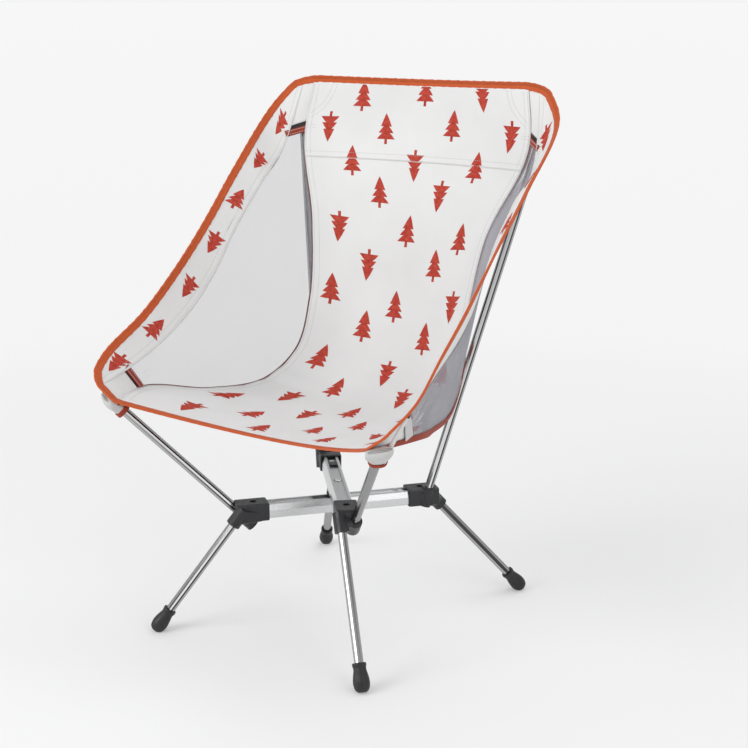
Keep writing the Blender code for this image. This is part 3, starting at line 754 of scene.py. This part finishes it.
def edge_binding():
    """The tape folded over the whole edge: a rounded fold, two faces, and a row of stitches on each
    near its inner edge."""
    path, inward, up = edge_path()
    half, width = BINDING_HALF, BINDING_WIDTH
    shoulder, stitched = width - 0.0012, width - 0.0022
    turns = np.linspace(math.pi / 2, -math.pi / 2, 7)
    section = [(half * (1 - math.cos(t)), half * math.sin(t)) for t in turns]
    section += [
        (width * 0.5, -half * 1.08), (shoulder, -half * 0.95), (width, -half * 0.55),
        (width, half * 0.55), (shoulder, half * 0.95), (width * 0.5, half * 1.08),
    ]
    travelled = np.arange(len(path)) * EDGE_SPACING
    pucker = sum(
        depth * np.sin(travelled * math.tau / pitch + phase) for depth, pitch, phase in BINDING_PUCKERS
    )
    tape("edge_tape", path + inward * pucker[:, None], up, inward, section, BINDING, closed=True)
    line = path + inward * stitched
    for sign in (-1, 1):
        stitch(np.vstack([line, line[:1]]), np.vstack([up, up[:1]]) * sign, half * 1.02, "orange")


def flat_tape(name, surface, stations, shares, width, half, height, finish, side):
    """A flat tape sewn along a line of (station, share) on a surface, height above its middle."""
    points = surface(stations, shares)
    normals = normals_of(surface, stations, shares, side)
    along = unit(np.gradient(points, axis=0))
    ways = unit(np.cross(along, normals))
    low, high = width
    bevel = half * 0.6
    section = [
        (low, -bevel), (low, bevel), (low + half, half), (high - half, half),
        (high, bevel), (high, -bevel), (high - half, -half), (low + half, -half),
    ]
    tape(name, points + normals * height, normals, ways, section, finish)


def seam_tapes():
    """The bound seams on the sling's back, and the mesh's bound ends, each with a slot beside it that a
    sheet of painted shade makes dark.
    """
    narrow, wide = 0.0012, 0.0062  # a seam tape's reach to either side of its seam
    # sheets behind the slots: a near-black one of painted shade, and behind it the darker pocket cloth of
    # painted shade
    slot_tapes = (  # name, half width, depth behind the cloth, material
        ("slot_shade_sheet", 0.0050, 0.0018, SLOT_PAINTED_SHADE), ("slot_backing", 0.0060, 0.0027, POCKET_CLOTH_PAINTED_SHADE),
    )
    seam = np.linspace(TUCK, TOP - TUCK, 190)
    hem_shares = np.linspace(-0.02, 1.02, 24)
    slot_shares = np.linspace(0.03, 0.97, 20)
    for side, word in ((-1, "left"), (1, "right")):
        mesh = span_surface(seam_curve, band_curve, side)
        reach = (-wide, narrow) if side > 0 else (-narrow, wide)
        on_seam = np.zeros_like(seam)
        flat_tape(
            f"seam_tape_{word}", mesh, seam, on_seam, reach, half=0.0006, height=-0.0024,
            finish=SEAM_TAPE_PAINTED_SHADE, side=side,
        )
        for end, at, behind in (
            ("front", MESH_FRONT - 0.0005, -0.005), ("rear", MESH_TOP + 0.0005, 0.006),
        ):
            hem, reach = np.full_like(hem_shares, at), (-0.0042, 0.0042)
            flat_tape(
                f"mesh_hem_{end}_{word}", mesh, hem, hem_shares, reach, half=0.0009, height=0.0,
                finish=SEAM_TAPE_PAINTED_SHADE, side=side,
            )
            slot = np.full_like(slot_shares, at + behind)
            for name, reach, depth, finish in slot_tapes:
                flat_tape(
                    f"{name}_{end}_{word}", mesh, slot, slot_shares, (-reach, reach), half=0.0004,
                    height=-depth, finish=finish, side=side,
                )
            for shift in (-0.0026, 0.0026):
                stitch_line(mesh, hem + shift, hem_shares, height=0.0012, side=side)


def with_yoke(stations, across):
    """The panel's wrinkles, and the yoke's lift where it lies on the panel."""
    return panel_wrinkles(stations, across) + np.where(stations > YOKE_AT, YOKE_LIFT, 0.0)


def seam_stitches():
    """Every row of pale stitching: seams beside the mesh, bands, corner arcs, bar tacks, the yoke."""
    margin = 0.012  # from the ends of a long row to the sling's edge
    stations = np.linspace(margin, TOP - margin, 420)
    reach = np.linspace(margin, TOP - margin, 400)
    width = seam_curve(stations)[:, 0]
    turn = np.linspace(math.radians(186), math.radians(247), 60)
    for side in (-1, 1):
        for inset in (0.0022, 0.0082):
            across = side * (1 - inset / width)
            stitch_line(panel_surface, stations, across, ON_CLOTH, wrinkles=with_yoke)
        band = span_surface(band_curve, outer_edge, side)
        room = np.linalg.norm(outer_edge(reach) - band_curve(reach), axis=1)
        for inset in (-0.0015, 0.0050):
            stitch_line(band, reach, inset / room, ON_CLOTH, side, wrinkles=band_wrinkles)
        for radius in (0.058, 0.064):
            u = SECTOR_X + radius * np.cos(turn)
            s = TOP + 0.004 + radius * np.sin(turn)
            keep = s < TOP - BINDING_WIDTH
            u, s = u[keep], s[keep]
            across = side * np.minimum(u / seam_curve(s)[:, 0], 0.97)
            stitch_line(panel_surface, s, across, ON_FOLD, wrinkles=panel_wrinkles)
        for shift in (0.0, 0.0035):
            across = side * np.linspace(0.91, 0.99, 12)
            s = np.full_like(across, MESH_TOP + 0.002 + shift)
            stitch_line(panel_surface, s, across, ON_FOLD, wrinkles=panel_wrinkles)
    across = np.linspace(-0.985, 0.985, 300)
    for shift in (-0.0026, 0.0042):
        s = np.full_like(across, YOKE_AT + shift)
        stitch_line(panel_surface, s, across, ON_FOLD, wrinkles=panel_wrinkles)


def finish_stitches():
    """Makes one piece of all the stitches of each colour."""
    threads = (("pale", THREAD, "printed_cloth"), ("orange", ORANGE_THREAD, "orange_binding"))
    for colour, finish, slot in threads:
        vertices, faces = STITCHES[colour]
        share_out(mesh_object(f"stitches_{colour}", vertices, faces, finish))


# ---------------------------------------------------------------- print
def fir(lean):
    """A small fir, as (height, left edge, right edge) rows from its foot to its tip, in shares of its
    height."""
    rows = [(0.0, -0.05, 0.05), (0.16, -0.045, 0.045)]
    tiers = ((0.16, 0.33), (0.36, 0.27), (0.57, 0.20), (1.0, 0.0))  # height, half width
    for (low, wide), (high, above) in zip(tiers, tiers[1:]):
        narrow = above * 0.50
        for share in np.linspace(0, 1, 5):
            reach = wide + (narrow - wide) * share**0.85
            droop = 0.02 * math.sin(share * math.pi)
            rows.append((low + (high - low) * share, -reach - droop, reach + droop))
    return [(v, left + lean * v * v, right + lean * v * v) for v, left, right in rows]


PRINT = ([], [])


def print_motif(surface, wrinkles, station, centre, metres, upright, lean, side=1):
    """Lays one fir on a surface: metres(station) gives how many metres a share of 1 is there."""
    vertices, faces = PRINT
    rows = fir(lean)
    columns = 5
    base = len(vertices)
    sign = 1 if upright else -1
    height = (np.array([r[0] for r in rows]) - 0.5) * MOTIF_HEIGHT * sign
    edges = np.array([(r[1], r[2]) for r in rows]) * MOTIF_HEIGHT * sign
    across = np.linspace(0, 1, columns)
    u = edges[:, :1] + (edges[:, 1:] - edges[:, :1]) * across
    s = station + np.repeat(height[:, None], columns, 1)
    s = np.clip(s, BINDING_WIDTH, TOP - BINDING_WIDTH)
    a = centre + u / metres(s)
    points = surface(s, a)
    normals = normals_of(surface, s, a, side)
    above = wrinkles(s, a) + PRINT_HEIGHT
    vertices.extend((points + normals * above[..., None]).reshape(-1, 3))
    for i in range(len(rows) - 1):
        for j in range(columns - 1):
            v = base + i * columns + j
            quad = (v, v + 1, v + columns + 1, v + columns)
            faces.append(quad if sign * side > 0 else quad[::-1])


def panel_metres(s):
    return seam_curve(s.ravel())[:, 0].reshape(s.shape)


def band_metres(s):
    flat = s.ravel()
    return np.linalg.norm(outer_edge(flat) - band_curve(flat), axis=1).reshape(s.shape)


def over_lap(stations, across):
    """The panel's wrinkles, and the yoke's lift from where its lap starts."""
    return panel_wrinkles(stations, across) + YOKE_LIFT * (stations > YOKE_AT - SEAM_LAP)


def build_print():
    """Firs in staggered columns on the panel, some upside down, and one row along each band."""
    margin = 0.014
    aside, ahead = MOTIF_JITTER
    chance = np.random.default_rng(11)
    for column in range(-3, 4):
        for row in range(8):
            shift = 0.048 if column % 2 else 0.0
            station = 0.004 + row * MOTIF_ROW + shift + chance.uniform(-ahead, ahead)
            if not 0.012 < station < TOP - margin:
                continue
            half = float(seam_curve(station)[0, 0])
            centre = column * MOTIF_COLUMN + chance.uniform(-aside, aside)
            if abs(centre) > half - margin:
                continue
            upright = (row + column) % 3 != 0
            lean = chance.uniform(-MOTIF_LEAN, MOTIF_LEAN)
            print_motif(panel_surface, over_lap, station, centre / half, panel_metres, upright, lean)
    for side in (-1, 1):
        band = span_surface(band_curve, outer_edge, side)
        for k in range(7):
            station = BAND_MOTIF_START + k * BAND_MOTIF_ROW
            lean = chance.uniform(-BAND_MOTIF_LEAN, BAND_MOTIF_LEAN)
            print_motif(
                band, band_wrinkles, station, BAND_MOTIF_SHARE, band_metres, k % 3 == 1, lean, side,
            )
    vertices, faces = PRINT
    share_out(mesh_object("fir_print", vertices, faces, INK))


# ---------------------------------------------------------------- corner pockets
POCKET_SECTIONS = (  # along the pole, half width, half thickness
    (0.0, 0.0084, 0.0070), (0.003, 0.0092, 0.0071), (0.008, 0.0112, 0.0072), (0.014, 0.0134, 0.0072),
    (0.020, 0.0148, 0.0074), (0.025, 0.0154, 0.0068), (0.028, 0.0150, 0.0052), (0.030, 0.0138, 0.0028),
)
POCKET_NORMAL = {-1: (-0.46, 0.46, 0.75), 1: (-0.57, -0.57, 0.60)}  # at the right-hand corners
REAR_POCKET = 0.8  # how wide a rear pocket is beside a front one
POCKET_TURNS = np.linspace(0, math.tau, 33)[:-1]
POCKET_START = 0.0262  # from a pole's tip back to its pocket's mouth
POCKET_WALL = 0.0007
POCKET_SINK = 0.0008  # how far a pocket's middle lies below its pole's axis
SQUARENESS = 0.75
HEM_SECTION = ((-0.0008, 0.0), (0.0, 0.0009), (0.0055, 0.0009), (0.0062, 0.0))  # along, out
CORNERS = {
    "front_left": (-1, -1, "front_pole_tip_left", "front_pole_left", "lower_frame"),
    "front_right": (1, -1, "front_pole_tip_right", "front_pole_right", "upper_frame"),
    "rear_left": (-1, 1, "back_pole_tip_left", "back_pole_upper_left", "upper_frame"),
    "rear_right": (1, 1, "back_pole_tip_right", "back_pole_upper_right", "lower_frame"),
}


def node_axis(node):
    """The upper end of a slim CAD node's axis, and the way up along it."""
    co = np.array([v.co for v in frame["nodes"][node].data.vertices])
    centre = co.mean(0)
    _, _, directions = np.linalg.svd(co - centre)
    way = directions[0] * np.sign(directions[0][2])
    return centre + way * ((co - centre) @ way).max(), way


def squared(turn):
    """A point of a rounded square of half width 1."""
    return [math.copysign(abs(v) ** SQUARENESS, v) for v in (math.cos(turn), math.sin(turn))]


def pocket_cloth(corner, side, front, start, way, normal, across):
    """A tube of cloth round a pole's tip, which widens and flattens to a closed top."""
    breadth = 1.0 if front else REAR_POCKET
    lean = 0.3 if front else 0.0  # how far the top turns towards the sling's edge
    along_edge = across * (1 - lean) - side * lean * np.array((side * 0.85, -0.08, 0.53))
    inner = [(reach, w - POCKET_WALL, t - POCKET_WALL) for reach, w, t in POCKET_SECTIONS[::-1]]
    rings = [*POCKET_SECTIONS, *inner]
    vertices, uv = [], []
    for reach, wide, thick in rings:
        share = min(1, reach / 0.026)
        sideways = unit(across * (1 - share) + along_edge * share)
        narrowed = 1 + (breadth - 1) * min(1, reach / 0.02)
        outward = 0.0025 * side * share * front
        sink = POCKET_SINK + 0.0022 * share
        for turn in POCKET_TURNS:
            crumple = 1 + 0.05 * math.sin(turn * 5 + reach * 180) * min(1, reach / 0.01)
            x, y = squared(turn)
            x = x * wide * crumple * narrowed + outward
            vertices.append(start + way * reach + sideways * x + normal * (y * thick - sink))
            uv.append((turn * 0.012, reach))
    size = len(POCKET_TURNS)
    faces = tube_faces(len(rings), size, closed=False)
    top = (len(POCKET_SECTIONS) - 1) * size  # the outer ring at the closed end: the inner one is next
    del faces[top:top + size]
    faces += [tuple(range(top, top + size)), tuple(range(top + size * 2 - 1, top + size - 1, -1))]
    mouth = (len(rings) - 1) * size
    for k in range(size):
        n = (k + 1) % size
        faces.append((k, mouth + k, mouth + n, n))
    # the pouch is in the darker cloth of painted shade
    pocket = mesh_object(f"pocket_cloth_{corner}", vertices, faces, POCKET_CLOTH_PAINTED_SHADE, uv)
    face_outward(pocket)
    return pocket


def pocket_hem(corner, start, way, normal, across):
    """The tape bound round a pocket's mouth."""
    wide, thick = 0.0100, 0.0084
    vertices, uv = [], []
    for turn in POCKET_TURNS:
        x, y = squared(turn)
        for reach, out in HEM_SECTION:
            aside = across * x * (wide + out) + normal * (y * (thick + out) - POCKET_SINK)
            vertices.append(start + way * reach + aside)
            uv.append((turn * 0.010, reach))
    faces = tube_faces(len(POCKET_TURNS), len(HEM_SECTION), closed=True)
    return mesh_object(f"pocket_hem_{corner}", vertices, faces, SEAM_TAPE_PAINTED_SHADE, uv)


def corner_pockets():
    """The pouches that the pole tips sit in: each rides on its own pole's body."""
    for corner, (side, fore, cap, pole, body) in CORNERS.items():
        _, way = node_axis(pole)
        tip, _ = node_axis(cap)
        start = tip - way * POCKET_START
        normal = np.array(POCKET_NORMAL[fore]) * (side, 1, 1)
        normal = unit(normal - way * (normal @ way))
        across = np.cross(way, normal)
        pocket = pocket_cloth(corner, side, fore < 0, start, way, normal, across)
        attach(pocket, body)
        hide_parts(f"corner_pocket_{corner}")
        hem = pocket_hem(corner, start, way, normal, across)
        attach(hem, body)
        if fore < 0:
            corner_loop(corner, side, tip, across, body)


def corner_loop(corner, side, tip, across, body):
    """A short pale loop of webbing from a front pocket's outer end up to the rim."""
    half_width, half_thickness, sections = 0.0024, 0.0006, 9
    low = tip - across * side * 0.0095
    high = flipped(outer_edge(0.034)[0] + np.array((-0.001, 0.0, -0.004)), side)
    run = unit(high - low)
    wide = unit(np.cross(run, (side * 0.6, -0.8, 0))) * half_width
    thick = unit(np.cross(run, wide)) * half_thickness
    vertices, uv = [], []
    for share in np.linspace(0, 1, sections):
        middle = low + (high - low) * share + thick * 4 * math.sin(share * math.pi)
        for x, y in ((-1, -1), (1, -1), (1, 1), (-1, 1)):
            vertices.append(middle + wide * x + thick * y)
            uv.append((share * 0.04, x * half_width))
    last = (sections - 1) * 4
    faces = tube_faces(sections, 4, closed=False)
    faces += [(3, 2, 1, 0), (last, last + 1, last + 2, last + 3)]
    loop = mesh_object(f"corner_loop_{corner}", vertices, faces, CLOTH, uv)
    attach(loop, body)


# ---------------------------------------------------------------- CAD nodes
NODE_FINISHES = (  # how a node's name starts, and its material
    (("cross_bar",), BAR), (("rivet", "pivot_rivet"), RIVET), (("foot",), RUBBER),
    (("hub", "pivot_spacer", "channel"), NYLON), (("leg_tube", "back_pole", "front_pole"), POLE),
)


def finish_of(name):
    if "cord" in name:
        return CORD
    if "pole_tip" in name:
        return NYLON
    return next((finish for starts, finish in NODE_FINISHES if name.startswith(starts)), CLOTH)


def finish_nodes():
    """Gives each CAD node its material, and softens the edges of the mouldings."""
    for name, node in frame["nodes"].items():
        node.data.materials.clear()
        node.data.materials.append(finish_of(name))
        if name.startswith(("hub", "pivot_spacer")):
            soften = node.modifiers.new("soften", "BEVEL")
            soften.width = 0.0007
            soften.segments = 2
            soften.limit_method = "ANGLE"
            soften.angle_limit = math.radians(32)
            soften.harden_normals = False


def replace_cloths():
    """Hides the CAD solids that the built cloths stand for."""
    pairs = {"centre_cloth": "centre_panel", "yoke_cloth": "yoke_panel", "edge_tape": "edge_binding"}
    for side in ("left", "right"):
        pairs[f"mesh_cloth_{side}"] = f"side_mesh_{side}"
        pairs[f"band_cloth_{side}"] = f"rim_band_{side}"
        for end in ("front", "rear"):
            pairs[f"patch_cloth_{end}_{side}"] = f"corner_patch_{end}_{side}"
    for start, node in pairs.items():
        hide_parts(node)


# ---------------------------------------------------------------- stage
def studio_world():
    """A pale studio: white at the horizon, greyer above it, and a little brighter overhead."""
    world = bpy.data.worlds.new("studio")
    bpy.context.scene.world = world
    world.use_nodes = True
    nodes, links = world.node_tree.nodes, world.node_tree.links
    where = nodes.new("ShaderNodeTexCoord")
    parts = nodes.new("ShaderNodeSeparateXYZ")
    links.new(where.outputs["Generated"], parts.inputs["Vector"])
    ramp = tone_ramp(nodes, SKY_TONES, (1, 1.005, 1.01))
    links.new(parts.outputs["Z"], ramp.inputs["Fac"])
    background = nodes["Background"]
    background.inputs["Strength"].default_value = WORLD_STRENGTH
    links.new(ramp.outputs["Color"], background.inputs["Color"])


def floor_paint():
    """Pale paint that, far from the chair, fades into an even white sweep."""
    paint = node_material("floor_paint", (0.86, 0.86, 0.86), 0.9, Specular_IOR_Level=0.2)
    reach = add_node(paint, "ShaderNodeVectorMath", operation="LENGTH")
    link(paint, coordinates(paint, "Object"), reach.inputs[0])
    far = remap(paint, reach.outputs["Value"], FLOOR_GLOW, 1.0, *FLOOR_FADE)
    vary_colour(paint, far, (0.93, 0.93, 0.93), (0.0, 0.0, 0.0), start=0.0, end=1.0)
    shader_input(paint, "Emission Color").default_value = (FLOOR_WHITE, FLOOR_WHITE, FLOOR_WHITE, 1)
    link(paint, far, shader_input(paint, "Emission Strength"))
    return paint


def build_stage():
    ground = [(x * FLOOR_REACH, y * FLOOR_REACH, 0) for x, y in ((-1, -1), (1, -1), (1, 1), (-1, 1))]
    mesh_object("floor", ground, [(0, 1, 2, 3)], floor_paint(), smooth=False)
    studio_world()
    for name, place, size, energy in LIGHTS:
        data = bpy.data.lights.new(name, "AREA")
        data.shape = "RECTANGLE"
        data.size, data.size_y = size
        data.energy = energy
        light = bpy.data.objects.new(name, data)
        light.location = place
        aim = Vector(LIGHT_AIM) - Vector(place)
        light.rotation_euler = aim.to_track_quat("-Z", "Y").to_euler()
        bpy.context.scene.collection.objects.link(light)


def build_camera():
    data = bpy.data.cameras.new("camera")
    data.lens = LENS
    data.sensor_width = SENSOR
    camera = bpy.data.objects.new("camera", data)
    level = math.cos(VIEW_ELEVATION)
    away = Vector((
        math.sin(VIEW_AZIMUTH) * level, -math.cos(VIEW_AZIMUTH) * level, math.sin(VIEW_ELEVATION),
    ))
    camera.location = VIEW_TARGET + away * VIEW_DISTANCE
    camera.rotation_euler = (-away).to_track_quat("-Z", "Y").to_euler()
    bpy.context.scene.collection.objects.link(camera)
    bpy.context.scene.camera = camera
    bpy.context.scene.view_settings.view_transform = "Standard"


build_camera()
build_stage()
finish_nodes()
build_panels()
build_sides()
edge_binding()
seam_tapes()
seam_stitches()
finish_stitches()
build_print()
corner_pockets()
replace_cloths()
